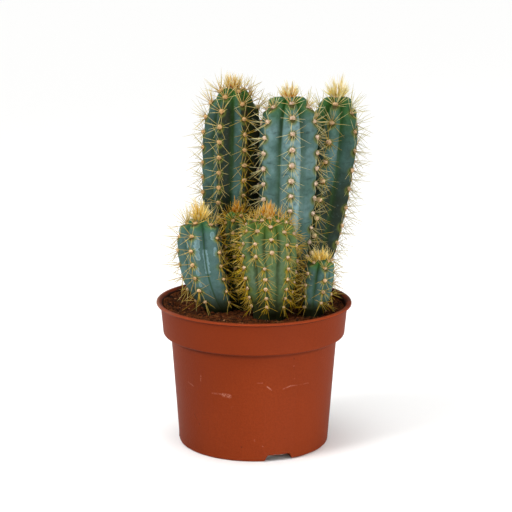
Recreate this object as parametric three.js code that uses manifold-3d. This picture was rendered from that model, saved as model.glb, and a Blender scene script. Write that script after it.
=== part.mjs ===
// A clump of blue torch cactus, seven ribbed stems of different ages, in a round plastic nursery pot
// filled with peat. Millimetres, +Z up, origin at the centre of the pot's underside. An azimuth is in
// degrees: 0 faces -Y, the front, and 90 faces +X.
import * as THREE from 'three';
import { mergeVertices } from 'three/addons/utils/BufferGeometryUtils.js';
import Module from 'manifold-3d';

// Pot
const POT_HEIGHT = 88.8;
const RIM_RADIUS = 60;
const LIP_THICKNESS = 1.6;
const COLLAR_TOP_RADIUS = 57.5;
const COLLAR_FOOT_RADIUS = 55.8;
const COLLAR_FOOT_HEIGHT = 69;
const BODY_TOP_RADIUS = 51.1;
const BODY_TOP_HEIGHT = 67.8;
const BASE_RADIUS = 46.2;
const WALL = 1.2;
const FLOOR = 1.5;
const EDGE_ROUND = 0.5;
const LIP_INNER_ROUND = 1.5;
const POT_SIDES = 48;

// Drainage channels under the floor, each open through the foot of the wall
const CHANNEL_AZIMUTHS = [19.3, 139.3, 259.3];
const CHANNEL_FOOT_WIDTH = 18.6;
const CHANNEL_ROOF_WIDTH = 13.8;
const CHANNEL_HEIGHT = 4;
const CHANNEL_INNER_RADIUS = 25;
const DRAIN_RADIUS = 4;
const DRAIN_CENTRE_RADIUS = 36;
const DRAIN_SIDES = 12;

// Soil
const SOIL_LEVEL = 83.3;
const SOIL_EDGE_RISE = 2.2;
const SOIL_EDGE_WIDTH = 9;
const SOIL_LUMP = 0.7;
const SOIL_LUMP_TURNS = [0.21, 0.17];
const SOIL_LEVEL_BAND = 8;
const SOIL_RINGS = 5;
const HOLE_SIDES = 16;
const GAP = 0.3;

// Stems
const FOOT_DEPTH = 12;
const STEPS_PER_RIB = 4;
const ROW_SPACING = 12;
const DOME_ROW_ANGLES = [18, 36, 53, 68, 80];
const CREST_ROUNDING = 1.35;
const RIB_GAP_AT_FULL_DEPTH = 60;
const GROOVE_GAP_POWER = 1.3;
const GROOVE_FOOT_SHARE = 0.6;
const SPLIT_BLEND = 5;
const MERGED_RIB_GAP = 15;

// Areoles, the small pads on each crest that the spines grow from
const AREOLE_STEP = 0.05;
const LOWEST_AREOLE = 5;
const ROOT_SHARE = 0.08;

// Spines: angles in degrees, the rise measured up the crest and the elevation away from it
const SPINE_RADIUS = 0.42;
const SPINE_SIDES = 3;
const SPINE_ROOT = 1.4;
const SPINE_RISE = [-35, 55];
const SPINE_DROOP_AT_SOIL = 70;
const SPINE_ELEVATION = [22, 48];
const SPINE_TRIES = 14;
const SPINE_LIFT_PER_TRY = 2;
const SPINE_CLEARANCE = 0.9;
const SPINE_SPACING = 1.2;
const SPINE_SOIL_CLEARANCE = 3;
const CLEARANCE_SHARES = [0.25, 0.5, 0.75, 1];
const SPACING_STEP = 0.1;

// The tuft of spines at each tip: one upright and a ring that leans out
const CROWN_RING = 6;
const CROWN_TURN_JITTER = 0.2;
const CROWN_LEAN = [20, 37];
const CROWN_LENGTH_SHARE = [0.75, 0.95];
const CROWN_DEPTH = 1;
const SEED = 20731;

// Each stem: where its centre stands at soil level and at its tip, how quickly it straightens, its
// radius over the ribs, the height where the taper above the soil ends, and how tall its dome is.
// domePower is how steadily the dome narrows.
// ribs lists each crest's azimuth and how far its areoles start down from the tip, in pitches.
const STEMS = [
  {
    name: 'stem_tall_left', foot: [-15.5, 29], tip: [-13.2, 29], height: 216, bend: 1,
    radius: 18.8, footRadius: 12, taperTop: 170, taperEase: 0.9, dome: 31, domePower: 0.46, groove: 0.34,
    ribs: [[-73, 1.0], [-22, 0.5], [29, 0.0], [81, 0.55], [132.5, 0.1], [184, 0.6], [235.5, 0.3]],
    pitch: [9.4, 9.4], firstAreole: 7.5, spine: [7, 10], crown: 11, colour: 'blue',
  },
  {
    name: 'stem_tall_middle', foot: [18.4, 13.5], tip: [21.1, 13.5], height: 212.5, bend: 1,
    radius: 18.8, footRadius: 10.5, taperTop: 178, taperEase: 1.1, dome: 32, domePower: 0.4, groove: 0.34,
    ribs: [[-51.9, 0.35], [8.1, 0.0], [68.1, 0.35], [128.1, 0.6], [188.1, 0.2], [248.1, 0.7]],
    pitch: [9.7, 8.8], firstAreole: 10.5, spine: [7, 10], crown: 10, colour: 'blue',
  },
  {
    name: 'stem_tall_right', foot: [33, 29.5], tip: [52.1, 49], height: 208.7, bend: 1,
    radius: 18.8, footRadius: 9.5, taperTop: 152, taperEase: 1, dome: 38, domePower: 0.52, groove: 0.34,
    ribs: [[-4.8, 0.0], [55.2, 0.8], [115.2, 0.3], [175.2, 0.8], [235.2, 0.4], [295.2, 0.7]],
    pitch: [12.2, 10.4], firstAreole: 9.3, spine: [8, 12], crown: 11, colour: 'blue',
  },
  {
    name: 'stem_short_left', foot: [-21.2, -2], tip: [-33, -3], height: 139.5, bend: 2.9,
    radius: 13.9, footRadius: 8, taperTop: 107, taperEase: 0.6, dome: 19, domePower: 0.4, groove: 0.28,
    ribs: [[-80, 0.2], [-23, 0.0], [55, 0.2], [115, 0.5], [170, 0.1], [225, 0.6]],
    pitch: [9.2, 7], firstAreole: 6.5, spine: [8, 12], crown: 11, colour: 'blue',
  },
  {
    name: 'stem_short_green', foot: [9.5, -17], tip: [8.3, -16.5], height: 144.3, bend: 1,
    radius: 17.2, footRadius: 10.4, taperTop: 125, taperEase: 1, dome: 19, domePower: 0.4, groove: 0.36,
    ribs: [[-62, 0.35], [-28, 0.18], [6, -0.2], [40, 0.3], [74, 0.6], [110, 0.1],
      [147, 0.5], [184, 0.2], [221, 0.7], [260, 0.0]],
    splitBelow: [-61, -8, -2, 43, 49, 98, 150, 198, 204, 250], splitHeight: 119.5,
    pitch: [8.2, 5], firstAreole: 6.5, spine: [6, 9], crown: 9.5, colour: 'green',
  },
  {
    name: 'stem_small_right', foot: [36, -12.5], tip: [40, -12.5], height: 117, bend: 1,
    radius: 9.6, footRadius: 6.5, taperTop: 103, taperEase: 0.8, dome: 12, domePower: 0.4, groove: 0.26,
    ribs: [[-48.7, 0.1], [23.3, 0.6], [95.3, 0.1], [167.3, 0.5], [239.3, 0.8]],
    pitch: [7.4, 6.6], firstAreole: 4.5, spine: [6, 9], crown: 10.5, colour: 'blue',
  },
  {
    name: 'stem_small_back', foot: [-7.2, 3], tip: [-10.8, 1.5], height: 143.4, bend: 1,
    radius: 7.8, footRadius: 6, taperTop: 115, taperEase: 0.9, dome: 11, domePower: 0.4, groove: 0.26,
    ribs: [[-20, 0.5], [32, 0.1], [83, 0.6], [135, 0.2], [186, 0.7], [237, 0.3], [289, 0.8]],
    pitch: [7.6, 7], firstAreole: 4.5, spine: [7, 10], crown: 9, colour: 'green',
  },
];

const MATERIALS = {
  pot: new THREE.MeshStandardMaterial({ color: '#96452c', roughness: 0.55, metalness: 0 }),
  soil: new THREE.MeshStandardMaterial({ color: '#3d2418', roughness: 0.95, metalness: 0 }),
  blue: new THREE.MeshStandardMaterial({ color: '#557f80', roughness: 0.7, metalness: 0 }),
  green: new THREE.MeshStandardMaterial({ color: '#56784a', roughness: 0.7, metalness: 0 }),
};

const MERGE_TOLERANCE = 1e-4;

const wasm = await Module();
wasm.setup();
const { degToRad, clamp, lerp, smoothstep } = THREE.MathUtils;

function toSolid(geometry) {
  const bare = geometry.clone();
  bare.deleteAttribute('normal');
  bare.deleteAttribute('uv');
  const merged = mergeVertices(bare, MERGE_TOLERANCE);
  const triangles = [];
  for (let i = 0; i < merged.index.count; i += 3) {
    const [a, b, c] = [0, 1, 2].map((k) => merged.index.getX(i + k));
    if (a !== b && b !== c && c !== a) triangles.push(a, b, c);
  }
  return new wasm.Manifold(new wasm.Mesh({
    numProp: 3,
    vertProperties: Float32Array.from(merged.attributes.position.array),
    triVerts: Uint32Array.from(triangles),
  }));
}

function toMesh(name, solid, material) {
  const { vertProperties, triVerts } = solid.getMesh();
  const geometry = new THREE.BufferGeometry();
  geometry.setAttribute('position', new THREE.BufferAttribute(vertProperties, 3));
  geometry.setIndex(new THREE.BufferAttribute(triVerts, 1));
  geometry.computeVertexNormals();
  const mesh = new THREE.Mesh(geometry, material);
  mesh.name = name;
  return mesh;
}

// A seeded draw between two values
function randomSource(seed) {
  let state = seed;
  return (low, high) => {
    state = (state + 0x6d2b79f5) | 0;
    let t = Math.imul(state ^ (state >>> 15), 1 | state);
    t = (t + Math.imul(t ^ (t >>> 7), 61 | t)) ^ t;
    return low + (high - low) * (((t ^ (t >>> 14)) >>> 0) / 4294967296);
  };
}

// A lathe's profile of [radius, height] pairs, turned about Z from azimuth 0
function lathe(profile, sides) {
  const points = profile.map(([r, z]) => new THREE.Vector2(r, z));
  return new THREE.LatheGeometry(points, sides).rotateX(Math.PI / 2);
}

// A block or prism that lies along an azimuth: local +X points outward
function placedAt(geometry, azimuth, radius, height) {
  return geometry.translate(radius, 0, height).rotateZ(degToRad(azimuth - 90));
}

function innerRadius(z) {
  if (z >= COLLAR_FOOT_HEIGHT) {
    const t = (z - COLLAR_FOOT_HEIGHT) / (POT_HEIGHT - LIP_THICKNESS - COLLAR_FOOT_HEIGHT);
    return lerp(COLLAR_FOOT_RADIUS, COLLAR_TOP_RADIUS, t) - WALL;
  }
  return lerp(BASE_RADIUS, BODY_TOP_RADIUS, z / BODY_TOP_HEIGHT) - WALL;
}

// The space of one drainage channel, narrower at its roof, grown by a margin on its sides and roof
function channelSpace(azimuth, margin) {
  const length = BASE_RADIUS + WALL - CHANNEL_INNER_RADIUS + margin;
  const height = CHANNEL_HEIGHT + WALL + margin;
  const space = new THREE.BoxGeometry(length, 1, height);
  space.translate(0, 0, CHANNEL_HEIGHT + margin - height / 2);
  const { position } = space.attributes;
  for (let i = 0; i < position.count; i += 1) {
    const width = lerp(CHANNEL_FOOT_WIDTH, CHANNEL_ROOF_WIDTH, position.getZ(i) / CHANNEL_HEIGHT);
    position.setY(i, position.getY(i) * (width + 2 * margin));
  }
  return toSolid(placedAt(space, azimuth, CHANNEL_INNER_RADIUS - margin + length / 2, 0));
}

function makePot() {
  const lipFoot = POT_HEIGHT - LIP_THICKNESS;
  const solid = toSolid(lathe([
    [0, 0],
    [BASE_RADIUS - EDGE_ROUND, 0],
    [BASE_RADIUS, EDGE_ROUND],
    [BODY_TOP_RADIUS, BODY_TOP_HEIGHT],
    [COLLAR_FOOT_RADIUS - EDGE_ROUND, COLLAR_FOOT_HEIGHT - EDGE_ROUND],
    [COLLAR_FOOT_RADIUS, COLLAR_FOOT_HEIGHT],
    [COLLAR_TOP_RADIUS, lipFoot],
    [RIM_RADIUS - EDGE_ROUND, lipFoot],
    [RIM_RADIUS, lipFoot + EDGE_ROUND],
    [RIM_RADIUS, POT_HEIGHT - EDGE_ROUND],
    [RIM_RADIUS - EDGE_ROUND, POT_HEIGHT],
    [COLLAR_TOP_RADIUS - WALL + LIP_INNER_ROUND, POT_HEIGHT],
    [COLLAR_TOP_RADIUS - WALL, POT_HEIGHT - LIP_INNER_ROUND],
    [innerRadius(COLLAR_FOOT_HEIGHT + WALL), COLLAR_FOOT_HEIGHT + WALL],
    [innerRadius(BODY_TOP_HEIGHT), BODY_TOP_HEIGHT + WALL],
    [innerRadius(FLOOR), FLOOR],
    [0, FLOOR],
  ], POT_SIDES));
  const inside = toSolid(lathe([
    [0, 0],
    [innerRadius(0) + WALL / 2, 0],
    [innerRadius(BODY_TOP_HEIGHT) + WALL / 2, BODY_TOP_HEIGHT],
    [0, BODY_TOP_HEIGHT],
  ], POT_SIDES));
  return CHANNEL_AZIMUTHS.reduce((pot, azimuth) => {
    const cover = channelSpace(azimuth, WALL).intersect(inside);
    const drain = new THREE.CylinderGeometry(DRAIN_RADIUS, DRAIN_RADIUS, 2 * CHANNEL_HEIGHT, DRAIN_SIDES);
    const hole = placedAt(drain.rotateX(Math.PI / 2), azimuth, DRAIN_CENTRE_RADIUS, CHANNEL_HEIGHT);
    return pot.add(cover).subtract(channelSpace(azimuth, 0)).subtract(toSolid(hole));
  }, solid);
}

function stemCentre(stem, z) {
  const t = clamp((z - SOIL_LEVEL) / (stem.height - SOIL_LEVEL), 0, 1);
  const share = 1 - (1 - t) ** stem.bend;
  return [0, 1].map((k) => lerp(stem.foot[k], stem.tip[k], share));
}

// The radius over the rib crests at a height
function crestRadius(stem, z) {
  const climb = clamp((z - SOIL_LEVEL) / (stem.taperTop - SOIL_LEVEL), 0, 1);
  const swell = Math.sin(climb * Math.PI / 2) ** stem.taperEase;
  const intoDome = clamp((z - stem.height + stem.dome) / stem.dome, 0, 1);
  return lerp(stem.footRadius, stem.radius, swell) * (1 - intoDome ** 2) ** stem.domePower;
}

function ribAzimuths(stem, z) {
  const azimuths = stem.ribs.map(([azimuth]) => azimuth);
  if (!stem.splitBelow) return azimuths;
  const above = smoothstep(z, stem.splitHeight - SPLIT_BLEND, stem.splitHeight + SPLIT_BLEND);
  return azimuths.map((azimuth, k) => lerp(stem.splitBelow[k], azimuth, above));
}

// A point of the stem's skin: rib k, and the share of the way from its crest to the next one
function skinPoint(stem, z, rib, share) {
  const azimuths = ribAzimuths(stem, z);
  const start = azimuths[rib];
  const next = rib + 1 < azimuths.length ? azimuths[rib + 1] : azimuths[0] + 360;
  const intoGroove = 1 - Math.abs(2 * share - 1);
  const gapShare = ((next - start) / RIB_GAP_AT_FULL_DEPTH) ** GROOVE_GAP_POWER;
  const climb = clamp((z - SOIL_LEVEL) / (stem.height - SOIL_LEVEL), 0, 1);
  const depth = stem.groove * gapShare * lerp(GROOVE_FOOT_SHARE, 1, climb);
  const radius = crestRadius(stem, z) * (1 - depth * intoGroove ** CREST_ROUNDING);
  const azimuth = degToRad(lerp(start, next, share));
  const [x, y] = stemCentre(stem, z);
  return new THREE.Vector3(x + radius * Math.sin(azimuth), y - radius * Math.cos(azimuth), z);
}

// Heights of the rows of points from the soil's level to the foot of the dome
function columnRows(stem) {
  const domeFoot = stem.height - stem.dome;
  const count = Math.ceil((domeFoot - SOIL_LEVEL) / ROW_SPACING);
  return Array.from({ length: count + 1 }, (_, j) => lerp(SOIL_LEVEL, domeFoot, j / count));
}

function stemBody(stem) {
  const domeFoot = stem.height - stem.dome;
  const heights = [SOIL_LEVEL - FOOT_DEPTH, SOIL_LEVEL - FOOT_DEPTH, ...columnRows(stem)];
  DOME_ROW_ANGLES.forEach((angle) => heights.push(domeFoot + stem.dome * Math.sin(degToRad(angle))));
  heights.push(stem.height);

  const sides = stem.ribs.length * STEPS_PER_RIB;
  const geometry = lathe(heights.map((z) => [1, z]), sides);
  const { position } = geometry.attributes;
  for (let i = 0; i <= sides; i += 1) {
    const step = i % sides;
    heights.forEach((z, j) => {
      const rib = Math.floor(step / STEPS_PER_RIB);
      const point = skinPoint(stem, z, rib, (step % STEPS_PER_RIB) / STEPS_PER_RIB);
      if (j === 0) point.set(...stemCentre(stem, z), z);
      position.setXYZ(i * heights.length + j, point.x, point.y, point.z);
    });
  }
  return toSolid(geometry);
}

// The areoles, spaced along each crest from the tip down
function areoles(stem) {
  const found = [];
  const standsAlone = (z, rib) => {
    const azimuths = ribAzimuths(stem, z);
    return rib === 0 || azimuths[rib] - azimuths[rib - 1] > MERGED_RIB_GAP;
  };
  stem.ribs.forEach(([, start], rib) => {
    let z = stem.height;
    let next = stem.firstAreole + start * stem.pitch[0];
    let travelled = 0;
    while (z > SOIL_LEVEL + LOWEST_AREOLE) {
      const lower = z - AREOLE_STEP;
      travelled += Math.hypot(crestRadius(stem, lower) - crestRadius(stem, z), AREOLE_STEP);
      z = lower;
      if (travelled >= next && standsAlone(z, rib)) {
        const point = skinPoint(stem, z, rib, 0);
        const above = skinPoint(stem, z + AREOLE_STEP, rib, 0);
        const before = (rib + stem.ribs.length - 1) % stem.ribs.length;
        const roots = [skinPoint(stem, z, before, 1 - ROOT_SHARE), skinPoint(stem, z, rib, ROOT_SHARE)];
        const outward = point.clone().sub(new THREE.Vector3(...stemCentre(stem, z), z)).normalize();
        const up = above.sub(point).normalize();
        const across = new THREE.Vector3().crossVectors(up, outward).normalize();
        const normal = new THREE.Vector3().crossVectors(across, up);
        found.push({ roots, up, across, normal, z, row: Math.round(travelled / stem.pitch[0]) + rib });
        const low = (stem.height - z) / (stem.height - SOIL_LEVEL);
        next += lerp(stem.pitch[0], stem.pitch[1], low);
      }
    }
  });
  return found;
}

function clearOfNeighbours(stem, root, tip) {
  return CLEARANCE_SHARES.every((share) => {
    const p = root.clone().lerp(tip, share);
    if (p.z < SOIL_LEVEL + SPINE_SOIL_CLEARANCE) return false;
    const belowRim = p.z < POT_HEIGHT + SPINE_CLEARANCE;
    if (belowRim && Math.hypot(p.x, p.y) > innerRadius(SOIL_LEVEL) - SPINE_SOIL_CLEARANCE) return false;
    return STEMS.every((other) => {
      if (other === stem || p.z > other.height + SPINE_CLEARANCE) return true;
      const [x, y] = stemCentre(other, p.z);
      return Math.hypot(p.x - x, p.y - y) > crestRadius(other, p.z) + SPINE_CLEARANCE;
    });
  });
}

// The shortest distance between two straight spines, sampled along both
function spineDistance(a, b) {
  const line = new THREE.Line3(b.root, b.tip);
  const nearest = new THREE.Vector3();
  let shortest = Infinity;
  for (let share = 0; share <= 1; share += SPACING_STEP) {
    const p = a.root.clone().lerp(a.tip, share);
    line.closestPointToPoint(p, true, nearest);
    shortest = Math.min(shortest, nearest.distanceTo(p));
  }
  return shortest;
}

const spinesSoFar = [];

function tryToGrow(stem, root, direction, length) {
  const tip = root.clone().addScaledVector(direction, length);
  const spine = { stem, root, tip };
  if (!clearOfNeighbours(stem, root, tip)) return false;
  const crosses = (other) => other.stem !== stem && spineDistance(spine, other) < SPINE_SPACING;
  if (spinesSoFar.some(crosses)) return false;
  spinesSoFar.push(spine);
  return true;
}

// Two spines on every other areole and one, left and right in turn, on those between; they tilt up
// near the tip and down near the soil
function growSideSpines(stem, random) {
  const sidesInTurn = [[-1, 1], [-1], [-1, 1], [1]];
  areoles(stem).forEach(({ roots, up, across, normal, z, row }) => {
    const low = (stem.height - z) / (stem.height - SOIL_LEVEL);
    sidesInTurn[row % sidesInTurn.length].forEach((side) => {
      const root = roots[side < 0 ? 0 : 1];
      for (let attempt = 0; attempt < SPINE_TRIES; attempt += 1) {
        const elevation = degToRad(random(...SPINE_ELEVATION) + SPINE_LIFT_PER_TRY * attempt);
        const rise = degToRad(random(...SPINE_RISE) - SPINE_DROOP_AT_SOIL * low);
        const flat = across.clone().multiplyScalar(side * Math.cos(rise)).addScaledVector(up, Math.sin(rise));
        const direction = normal.clone().multiplyScalar(Math.sin(elevation));
        direction.addScaledVector(flat, Math.cos(elevation)).normalize();
        if (tryToGrow(stem, root, direction, random(...stem.spine))) break;
      }
    });
  });
}

function growCrown(stem, random) {
  const root = new THREE.Vector3(...stemCentre(stem, stem.height), stem.height - CROWN_DEPTH);
  const length = stem.crown + CROWN_DEPTH;
  for (let k = 0; k < CROWN_RING; k += 1) {
    const turn = 2 * Math.PI * (k + random(-CROWN_TURN_JITTER, CROWN_TURN_JITTER)) / CROWN_RING;
    const lean = degToRad(random(...CROWN_LEAN));
    const flat = new THREE.Vector3(Math.sin(turn), -Math.cos(turn), 0).multiplyScalar(Math.sin(lean));
    tryToGrow(stem, root, flat.setZ(Math.cos(lean)), length * random(...CROWN_LENGTH_SHARE));
  }
  tryToGrow(stem, root, new THREE.Vector3(0, 0, 1), length);
}

function spineSolid({ root, tip }) {
  const direction = tip.clone().sub(root).normalize();
  const start = root.clone().addScaledVector(direction, -SPINE_ROOT);
  const length = tip.distanceTo(start);
  const cone = new THREE.ConeGeometry(SPINE_RADIUS, length, SPINE_SIDES).translate(0, length / 2, 0);
  const turn = new THREE.Quaternion().setFromUnitVectors(new THREE.Vector3(0, 1, 0), direction);
  return toSolid(cone.applyQuaternion(turn).translate(start.x, start.y, start.z));
}

function makeStem(stem) {
  const spines = spinesSoFar.filter((spine) => spine.stem === stem);
  return spines.reduce((solid, spine) => solid.add(spineSolid(spine)), stemBody(stem));
}

// Low lumps in the soil's surface, flattened out at the wall
function soilLump(x, y) {
  const wall = innerRadius(SOIL_LEVEL);
  const height = SOIL_LUMP * (1 - smoothstep(Math.hypot(x, y), wall - SOIL_LEVEL_BAND, wall));
  return height * Math.sin(SOIL_LUMP_TURNS[0] * x) * Math.cos(SOIL_LUMP_TURNS[1] * y);
}

// The space around a stem's foot; above the soil's level it leans and widens with the stem
function footSpace(stem) {
  const [level, above] = columnRows(stem);
  const bottom = level - FOOT_DEPTH - GAP;
  const geometry = lathe([[0, bottom], [1, bottom], [1, level], [1, above], [0, above]], HOLE_SIDES);
  const { position } = geometry.attributes;
  for (let i = 0; i < position.count; i += 1) {
    const z = position.getZ(i);
    const radius = (crestRadius(stem, z) + GAP) / Math.cos(Math.PI / HOLE_SIDES);
    const [x, y] = stemCentre(stem, z);
    position.setXY(i, x + radius * position.getX(i), y + radius * position.getY(i));
  }
  return toSolid(geometry);
}

function makeSoil() {
  const edgeHeight = SOIL_LEVEL + SOIL_EDGE_RISE;
  const edgeRadius = innerRadius(edgeHeight) - GAP;
  const levelRadius = edgeRadius - SOIL_EDGE_WIDTH;
  const profile = [
    [0, FLOOR + GAP],
    [innerRadius(FLOOR) - GAP, FLOOR + GAP],
    [innerRadius(BODY_TOP_HEIGHT) - GAP, BODY_TOP_HEIGHT + WALL + GAP],
    [innerRadius(COLLAR_FOOT_HEIGHT + WALL) - GAP, COLLAR_FOOT_HEIGHT + WALL + GAP],
    [edgeRadius, edgeHeight],
  ];
  for (let k = SOIL_RINGS; k >= 0; k -= 1) profile.push([levelRadius * k / SOIL_RINGS, SOIL_LEVEL]);
  const geometry = lathe(profile, POT_SIDES / 2);
  const { position } = geometry.attributes;
  for (let i = 0; i < position.count; i += 1) {
    const [x, y, z] = [position.getX(i), position.getY(i), position.getZ(i)];
    if (z > SOIL_LEVEL - GAP) position.setZ(i, z + soilLump(x, y));
  }
  const clearOfCovers = CHANNEL_AZIMUTHS.reduce(
    (soil, azimuth) => soil.subtract(channelSpace(azimuth, WALL + GAP)),
    toSolid(geometry),
  );
  return STEMS.reduce((soil, stem) => soil.subtract(footSpace(stem)), clearOfCovers);
}

STEMS.forEach((stem, k) => {
  const random = randomSource(SEED + k);
  growCrown(stem, random);
  growSideSpines(stem, random);
});

const cactus = new THREE.Group();
cactus.add(toMesh('pot', makePot(), MATERIALS.pot));
cactus.add(toMesh('soil', makeSoil(), MATERIALS.soil));
STEMS.forEach((stem) => cactus.add(toMesh(stem.name, makeStem(stem), MATERIALS[stem.colour])));

export default cactus;
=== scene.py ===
# The looks of a clump of blue torch cactus in a round plastic nursery pot: seven ribbed stems with
# woolly areoles and fine spines, peat, and the moulded pot. Sizes are in millimetres until a mesh is
# made. An azimuth is in degrees: 0 faces -Y, the front, and 90 faces +X.
import random
from functools import reduce
from math import acos, asin, atan2, cos, dist, hypot, pi, radians, sin, sqrt, tan
from types import SimpleNamespace

import bpy
import numpy as np
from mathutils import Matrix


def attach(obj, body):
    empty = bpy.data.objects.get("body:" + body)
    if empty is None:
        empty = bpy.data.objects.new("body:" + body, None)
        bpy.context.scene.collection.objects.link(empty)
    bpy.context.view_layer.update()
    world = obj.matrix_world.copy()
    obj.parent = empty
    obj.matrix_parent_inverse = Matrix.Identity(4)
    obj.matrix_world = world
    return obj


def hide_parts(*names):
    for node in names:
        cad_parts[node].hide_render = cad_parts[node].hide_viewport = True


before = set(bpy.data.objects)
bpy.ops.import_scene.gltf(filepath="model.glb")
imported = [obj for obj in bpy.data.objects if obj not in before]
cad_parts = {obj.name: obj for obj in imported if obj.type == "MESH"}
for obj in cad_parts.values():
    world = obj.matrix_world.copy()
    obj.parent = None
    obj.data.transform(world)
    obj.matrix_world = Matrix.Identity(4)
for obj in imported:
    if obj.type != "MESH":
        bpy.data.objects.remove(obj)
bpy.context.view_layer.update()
BODY = "root"
MM = 0.001

# Camera and light: places and sizes in metres, angles in degrees
CAMERA_PLACE = (0.0011, -0.949, 0.3258)
CAMERA_PITCH_DOWN = 12.448
CAMERA_ROLL = 0.24
CAMERA_LENS = 111.66
SENSOR = 36
FLOOR_SIZE = 40
PAPER_GLOSS = 0.5
SKY = 0.42
OVERHEAD = 2.06
OVERHEAD_ANGLE = 50

# Soft boxes: name, place and target in metres, size, power and spread
LAMPS = (
    ("key", (-1.1, -0.65, 0.9), (0, 0, 0.2), 0.7, 3.2, 70),
    ("fill", (0.55, -0.75, 0.02), (0, 0, -0.02), 0.3, 0.7, 36),
)

# Pot
POT_HEIGHT = 88.8
RIM_RADIUS = 60
LIP_THICKNESS = 1.6
LIP_FOOT = POT_HEIGHT - LIP_THICKNESS
COLLAR_TOP_RADIUS = 57.5
COLLAR_FOOT_RADIUS = 55.8
COLLAR_FOOT_HEIGHT = 69
BODY_TOP_RADIUS = 51.1
BODY_TOP_HEIGHT = 67.8
BASE_RADIUS = 46.2
WALL = 1.2
FLOOR = 1.5
POT_SIDES = 256
CORNER_STEPS = 5
CHANNEL_AZIMUTHS = (19.3, 139.3, 259.3)
CHANNEL_WIDTH = 17
CHANNEL_MOUTH = (18.6, 13.8)
CHANNEL_HEIGHT = 4
CHANNEL_INNER_RADIUS = 25
DRAIN_RADIUS = 4
DRAIN_CENTRE_RADIUS = 36
DRAIN_SIDES = 32
CUT_MARGIN = 5
CUT_DEPTH = 1
LIP_INNER_SLOPE = 1.5
LIP_INSIDE = 0.45
LIP_SKIN = 0.15
LIP_EDGE = 1.2
SHARP_ANGLE = 35
LIP_DUST_FROM = (-0.75, -0.2)
# Azimuth and width of the pale patch on the lip's left edge, dust and a painted sheen
LIP_DUST_AND_SHEEN = (-84, 26)

# Bands of painted light and shade on the wall: a highlight on the lip's face, a shadow line under the
# lip and shade under the collar. How far from an edge, in metres, a side of each starts and is full
LIP_HIGHLIGHT = (0.0006, 0.001)
LIP_SHADOW_LINE = ((-0.0012, 0), (0.0006, 0.0003))
COLLAR_SHADE = ((-0.003, -0.0005), (0.0016, 0.0004))

# Scuffs on the pot's wall: azimuth and height of each end, half width and strength. Chalk is pale.
CHALK_MARKS = (
    (-39.1, 52.0, -39.5, 48.2, 0.5, 0.22),
    (-52.8, 44.9, -47.2, 43.5, 0.6, 0.2),
    (-21.3, 41.8, -16.8, 41.4, 1.7, 0.32),
    (-29.9, 42.0, -22.1, 42.1, 0.8, 0.16),
    (2.6, 50.5, 6.0, 50.4, 0.4, 0.2),
    (9.4, 47.9, 12.3, 45.8, 0.6, 0.35),
    (20.9, 45.8, 26.1, 47.2, 0.5, 0.3),
    (26.1, 47.2, 41.4, 46.8, 0.6, 0.24),
    (28.2, 59.5, 28.4, 59.3, 0.5, 0.3),
    (0.7, 14.3, 1.0, 13.6, 0.5, 0.25),
    (6.6, 10.3, 7.0, 9.9, 0.45, 0.25),
)
DARK_MARKS = (
    (27.9, 64.5, 28.0, 64.0, 0.6, 0.6),
    (28.4, 58.6, 28.5, 57.6, 0.6, 0.5),
    (-48.1, 25.4, -45.2, 22.2, 0.45, 0.6),
    (-43.4, 20.2, -43.2, 19.8, 0.5, 0.6),
    (-9.2, 9.6, -8.4, 9.4, 0.6, 0.7),
    (23.5, 14.0, 23.8, 13.8, 0.4, 0.5),
)

# Soil
SOIL_LEVEL = 83.3
SOIL_RADIUS = 55.8
SOIL_STEP = 0.75
SOIL_GAP = 0.5
SOIL_SIDES = 360
SOIL_LUMPS = ((0.05, 0.8), (0.13, 0.5), (0.31, 0.35), (0.67, 0.25))
SOIL_EDGE_RISE = (1.6, 4.8)
SOIL_HIGH_SIDE = -50
SOIL_DIP = 0.4
SOIL_ROUGHNESS = 0.55
SOIL_EDGE_WIDTH = 9
WELL_EDGE = (0.1, 1.3)
FOOT_MARGIN = 0.9
GRAINS = 3600
GRAIN_SIZE = 0.3
GRAIN_GROWTH = 0.95
GRAIN_LIFT = 0.2
GRAIN_STRETCH = (0.7, 1.3)
FIBRES = 220
FIBRE_LENGTH = (2, 7)
FIBRE_WIDTH = (0.1, 0.24)
FIBRE_CURL = 0.5
FIBRE_LIFT = 0.35
FIBRE_ARCH = 0.5
FIBRE_TAPER = 0.6
FIBRE_STEPS = 5
FIBRE_SIDES = 4

# Stems
FOOT_DEPTH = 12
HOLE_GAP = 0.3
CREST_ROUNDING = 1.25
RIB_GAP_AT_FULL_DEPTH = 60
GROOVE_GAP_POWER = 1.3
GROOVE_FOOT_SHARE = 0.6
SPLIT_BLEND = 5
MERGED_RIB_GAP = 26
LOWEST_AREOLE = 5
AREOLE_STEP = 0.05
SLOPE_REACH = 0.5
STEPS_PER_RIB = 16
ROW_SPACING = 0.7
DOME_ROWS = 44
DOME_GROOVE_ROUNDING = 1.9
DOME_GROOVE_DEEPER = 1.25
DOME_GROOVE_SPAN = (-0.3, 0.6)
STEP_EDGE = 5
STEP_SHARE = 0.85
STEPLESS_FOOT = 10
STEPS_FADE = 0.2
SCALLOP = 0.9
WRINKLE = 0.08
WRINKLE_WAVES = 9
WRINKLE_RATES = (0.9, 0.9, 1.3)
FULL_RADIUS = 18.8
WELD_DISTANCE = 1e-5
# How strong the painted shade down the grooves is, for each skin and near the tip
GROOVE_SHADE = dict(blue=0.5, waxy=0.85, green=0.6)
TIP_GROOVE_SHADE = 0.9
# The olive ring round each areole, set below it, with a painted shadow just under the pad
RING_DROP = 0.45
RING_TALLNESS = 1.15
RING_WIDTH = 1.25
FOLD_SLOPE = 0.25
FOLD_WIDTH = 0.4
FOLD_DEPTH = 0.12
SMOOTH_TIP_RADIUS = 3
PLAIN_BLOOM = (-0.35, 0.3)
# How far painted shade from the stems around lowers the bloom, and the least bloom it takes it to
PAINTED_SHADE = 1.8
BARE_BLOOM = -0.9


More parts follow.
